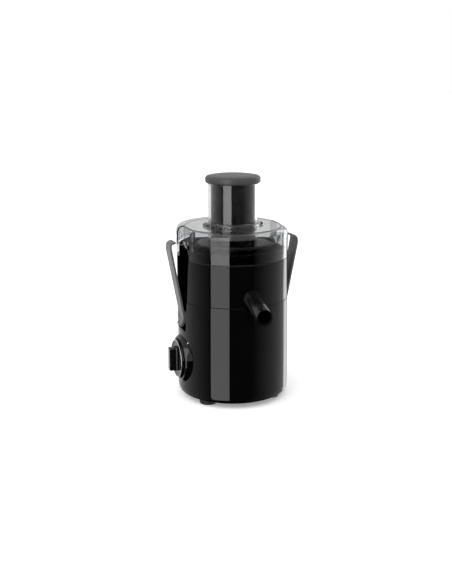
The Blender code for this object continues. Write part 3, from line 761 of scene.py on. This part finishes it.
# Sieve basket: a cone of thin steel, etched with rows of fine holes and spot-welded between a black
# rim and a black hub. The holes are drawn by the material on a net of angle and height.
STEEL = plastic("brushed_steel", (0.60, 0.60, 0.61), 0.26, 2400.0, 0.06, 0.08, 0.0, 1.0)
SATIN = plastic("satin_black_plastic", (0.022, 0.022, 0.024), 0.42, 1100.0, 0.06, 0.06)
rim = turned("sieve_rim_ring", looped([(60.4, 233.3, 0.3), (64, 233.8, 0.8), (64, 238, 1.2),
                                       (59.0, 238, 1.2), (58.4, 233.3, 0.3)]))
soften(rim, 0.1, 1, 60)
rim.data.materials.append(SATIN)
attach(rim, "sieve")
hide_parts("sieve_rim")
HOLES_ROUND, HOLE_PITCH = 216, 1.4
ETCHED = plastic("etched_sieve_steel", (0.66, 0.66, 0.67), 0.28, 2400.0, 0.06, 0.08, 0.0, 1.0)
tree = ETCHED.node_tree
place = tree.nodes.new("ShaderNodeTexCoord")
split = tree.nodes.new("ShaderNodeSeparateXYZ")
tree.links.new(place.outputs["Object"], split.inputs[0])
from_axis = maths(tree, "SUBTRACT", split.outputs["Y"], AXIS_Y)
around = maths(tree, "ARCTAN2", from_axis, split.outputs["X"])
net = tree.nodes.new("ShaderNodeCombineXYZ")
tree.links.new(maths(tree, "MULTIPLY", around, HOLES_ROUND / (2 * pi)), net.inputs["X"])
tree.links.new(maths(tree, "MULTIPLY", split.outputs["Z"], 1000.0 / HOLE_PITCH), net.inputs["Y"])
cells = tree.nodes.new("ShaderNodeTexVoronoi")
cells.voronoi_dimensions = "2D"
cells.inputs["Scale"].default_value = 1.0
cells.inputs["Randomness"].default_value = 0.0
tree.links.new(net.outputs["Vector"], cells.inputs["Vector"])
color = tree.nodes["Principled BSDF"].inputs["Base Color"]
pierced = tree.nodes.new("ShaderNodeMix")
pierced.data_type = "RGBA"
pierced.inputs["A"].default_value = (0.01, 0.01, 0.01, 1)
tree.links.new(color.links[0].from_socket, pierced.inputs["B"])
tree.links.new(ranged(tree, cells.outputs["Distance"], 0.26, 0.34), pierced.inputs["Factor"])
tree.links.new(pierced.outputs["Result"], color)
cone = turned("sieve_cone", [(44.6, 187.6), (60.4, 233), (59.8, 233), (44.0, 187.6),
                             (44.6, 187.6)], 180)
soften(cone, 0.05, 1, 60)
cone.data.materials.append(ETCHED)
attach(cone, "sieve")
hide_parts("sieve_mesh")

# Grater disc: stamped from the same steel, with curved rows of short raised teeth, and held down on
# the hub by a round nut in the middle.
PLATE_Z, TOOTH_ROWS, TEETH, TOOTH_HEIGHT = 187.2, 14, 8, 1.3
disc = turned("grater_disc_plate", looped([(5.5, 186.2, 0), (43.4, 186.2, 0.3),
                                           (43.4, PLATE_Z, 0.3), (5.5, PLATE_Z, 0)]), 128)
bpy.ops.object.mode_set(mode="EDIT")
mesh = bmesh.from_edit_mesh(disc.data)
for row in range(TOOTH_ROWS):
    for k in range(TEETH):
        r, turn = 11.0 + 4.0 * k + 2.0 * (row % 2), 2 * pi * row / TOOTH_ROWS + 0.045 * k
        out, round_way = Vector((cos(turn), sin(turn), 0)), Vector((-sin(turn), cos(turn), 0))
        middle = out * r * MM + Vector((0, AXIS_Y, (PLATE_Z - 0.1) * MM))
        root = [middle + (out * a + round_way * b) * MM
                for a, b in ((-0.8, -1.1), (0.8, -1.1), (0.8, 1.0), (-0.8, 1.0))]
        tip = [middle + (out * a + round_way * 1.1) * MM + Vector((0, 0, TOOTH_HEIGHT * MM))
               for a in (0.35, -0.35)]
        a, b, c, d, e, f = [mesh.verts.new(spot) for spot in root + tip]
        for ring in ((a, d, c, b), (a, b, e, f), (b, c, e), (d, a, f), (c, d, f, e)):
            mesh.faces.new(ring)
bmesh.update_edit_mesh(disc.data)
close()
bpy.ops.object.shade_smooth_by_angle(angle=radians(30))
disc.data.materials.append(STEEL)
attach(disc, "sieve")
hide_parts("grater_disc")

# Feet: four round black rubber pads plugged into the base plate, with a rounded tread and a dished
# underside.
RUBBER = plastic("moulded_rubber", (0.014, 0.014, 0.014), 0.62, 1200.0, 0.2, 0.08)
for word in ("front_left", "front_right", "rear_left", "rear_right"):
    low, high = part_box("foot_" + word)
    spot = ((low + high) / 2 - Vector((0, AXIS_Y, 0))) / MM
    top = high.z / MM
    profile = [(0, 1.6, 0), (7.0, 1.6, 1.5), (8.6, 0, 0.8), (12.9, 0, 1.8), (13.0, 4.4, 0.5),
               (12.2, 4.9, 0.3), (12.2, top, 0), (0, top, 0)]
    pad = turned("foot_pad_" + word, rounded(profile), 72, (spot.x, spot.y, 0))
    bpy.ops.object.shade_smooth_by_angle(angle=radians(35))
    pad.data.materials.append(RUBBER)
    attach(pad, "housing")
    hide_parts("foot_" + word)

# Cord gland: a soft black bush low on the back, pressed into its hole, with a flange and a rounded
# nose. The mains cord itself is not part of the model.
gland = turned("cord_gland_bush", looped([
    (3.2, 88, 0.2), (6.0, 88, 0.2), (6.0, 95.0, 0), (8.6, 95.0, 0.4), (8.6, 96.3, 0.5),
    (6.6, 96.4, 0.3), (6.3, 95.9, 0.3), (5.9, 96.6, 0.3), (5.2, 97.0, 0.3), (3.2, 97.0, 0.3)]),
               72, (0, 0, GLAND_Z), "Y")
bpy.ops.object.shade_smooth_by_angle(angle=radians(35))
gland.data.materials.append(RUBBER)
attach(gland, "housing")
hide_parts("cord_gland")

# Everything inside the base and below it keeps its own solid, with the finish of its material.
IRON = plastic("laminated_iron", (0.32, 0.33, 0.35), 0.5, 1500.0, 0.15, 0.1, 0.0, 1.0)
BRACKET = plastic("cast_bracket", (0.5, 0.51, 0.53), 0.45, 700.0, 0.2, 0.08, 0.0, 1.0)
COPPER = plastic("enamelled_copper", (0.60, 0.27, 0.12), 0.35, 1900.0, 0.3, 0.08, 0.2, 1.0)
BRASS = plastic("drawn_brass", (0.62, 0.47, 0.20), 0.35, 1500.0, 0.1, 0.08, 0.0, 1.0)
NYLON = plastic("natural_nylon", (0.72, 0.72, 0.70), 0.45, 900.0, 0.05, 0.06)
BOARD = plastic("green_board", (0.03, 0.16, 0.07), 0.4, 1300.0, 0.15, 0.08)
looks = {"gloss_black": GLOSS_BLACK, "satin_black": SATIN, "steel": STEEL, "motor_iron": IRON,
         "bracket_metal": BRACKET, "copper": COPPER, "brass": BRASS, "rubber": RUBBER,
         "silver_plastic": SILVER, "white_plastic": NYLON, "circuit_board": BOARD,
         "clamp_grey": CLAMP_GREY, "cap_grey": CAP_GREY, "pusher_grey": PUSHER_GREY,
         "clear_plastic": CLEAR}
for part in frame["record"]["subparts"]:
    node = frame["nodes"][part["node"]]
    node.data.materials.clear()
    node.data.materials.append(looks[part["material_slot"]])
